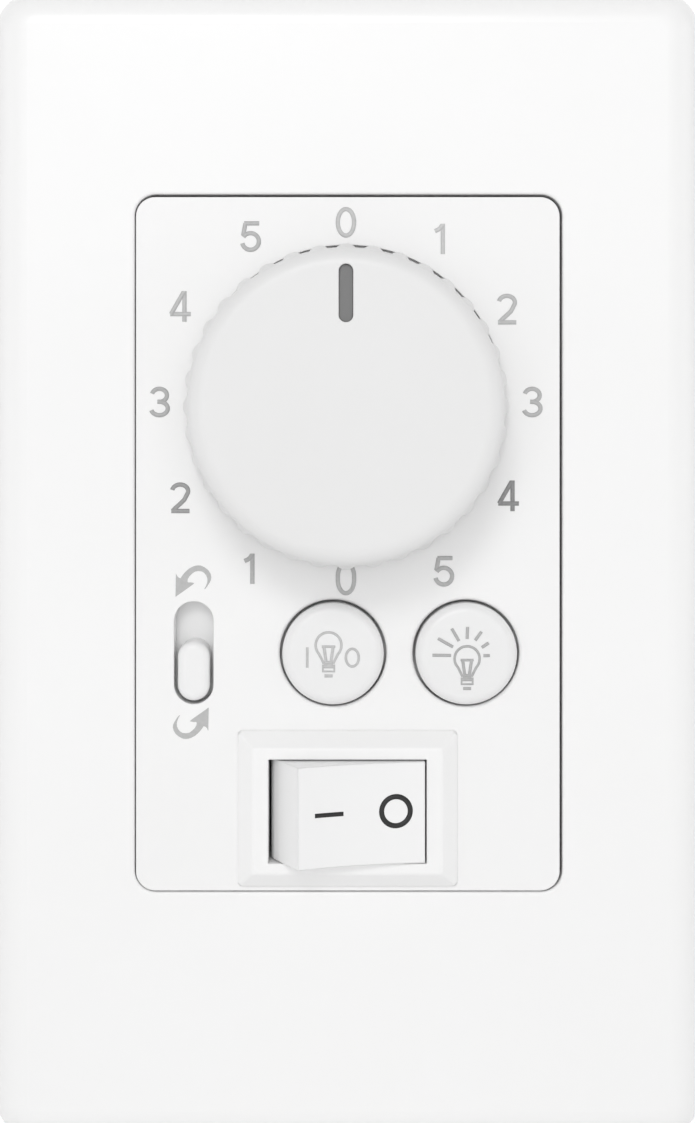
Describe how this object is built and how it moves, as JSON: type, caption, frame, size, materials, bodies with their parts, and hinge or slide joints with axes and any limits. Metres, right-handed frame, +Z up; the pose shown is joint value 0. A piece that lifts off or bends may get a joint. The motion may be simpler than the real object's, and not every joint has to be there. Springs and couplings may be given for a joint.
{
  "type": "fan speed control switch",
  "caption": "Wall control for a ceiling fan: surround plate, round speed knob, reverse slide, two light buttons and a rocker isolator on one panel.",
  "frame": {"origin": "middle of the two mounting holes, in the wall plane", "axes": "+Z up the wall, -Y out of the wall towards the user, +X to the user's right"},
  "size_m": [0.0706, 0.048, 0.1146],
  "materials": {
    "white_gloss": "glossy moulded plastic",
    "white_matte": "fine satin moulded plastic",
    "pointer_grey": "matt grey inlay",
    "housing_white": "plain moulded plastic",
    "board_green": "solder-masked fibreglass",
    "black_plastic": "moulded plastic",
    "blue_plastic": "moulded plastic",
    "yellow_plastic": "moulded plastic",
    "terminal_green": "moulded plastic",
    "nickel": "bright nickel plating",
    "zinc_steel": "zinc-plated steel",
    "brass": "turned brass",
    "aluminium_can": "drawn can"
  },
  "bodies": {
    "mounted_parts": {"surround_plate": "white_gloss", "control_panel": "white_matte", "rear_housing": "housing_white", "circuit_board": "board_green", "rotary_base": "black_plastic", "rotary_cover": "black_plastic", "shaft_bushing": "nickel", "bushing_washer": "zinc_steel", "bushing_nut": "nickel", "rotary_pins": "nickel", "light_tact_switch": "black_plastic", "dimmer_tact_switch": "black_plastic", "tact_switch_legs": "nickel", "slide_switch": "zinc_steel", "slide_switch_legs": "nickel", "rocker_housing": "white_matte", "rocker_terminals": "brass", "terminal_block": "terminal_green", "terminal_screws": "zinc_steel", "relay": "blue_plastic", "supply_capacitor": "yellow_plastic", "controller_chip": "black_plastic", "smoothing_capacitor": "aluminium_can", "fuse": "black_plastic", "component_pins": "nickel", "chip_legs": "nickel", "board_screws": "zinc_steel", "housing_screws": "zinc_steel"},
    "turning_knob": {"knob": "white_matte", "knob_pointer": "pointer_grey", "switch_shaft": "white_matte"},
    "light_key": {"light_button": "white_gloss", "light_tact_plunger": "black_plastic"},
    "dimmer_key": {"dimmer_button": "white_gloss", "dimmer_tact_plunger": "black_plastic"},
    "reverse_slide": {"reverse_slider": "white_matte", "slide_switch_lever": "black_plastic"},
    "isolator_rocker": {"rocker": "white_matte", "rocker_plunger": "black_plastic", "rocker_spring": "zinc_steel"},
    "seesaw_contact": {"rocker_contact": "brass"}
  },
  "joints": [
    {"name": "knob_turn", "type": "hinge", "parent": "mounted_parts", "child": "turning_knob", "pos_m": [-0.00014, -0.01, 0.01578], "axis": [0, 1, 0], "continuous": true},
    {"name": "light_press", "type": "slide", "parent": "mounted_parts", "child": "light_key", "axis": [0, 1, 0], "range_m": [0, 0.00035], "stiffness_N_per_m": 400},
    {"name": "dimmer_press", "type": "slide", "parent": "mounted_parts", "child": "dimmer_key", "axis": [0, 1, 0], "range_m": [0, 0.00035], "stiffness_N_per_m": 400},
    {"name": "reverse_shift", "type": "slide", "parent": "mounted_parts", "child": "reverse_slide", "axis": [0, 0, 1], "range_m": [0, 0.00356]},
    {"name": "rocker_tilt", "type": "hinge", "parent": "mounted_parts", "child": "isolator_rocker", "pos_m": [0, -0.00785, -0.0236], "axis": [0, 0, -1], "range_deg": [0, 30]},
    {"name": "contact_tilt", "type": "hinge", "parent": "mounted_parts", "child": "seesaw_contact", "pos_m": [0, 0.0024, -0.0236], "axis": [0, 0, 1], "range_deg": [0, 16]}
  ],
  "couplings": [
    {"joint": "contact_tilt", "follows": "rocker_tilt", "ratio": 0.53333}
  ]
}
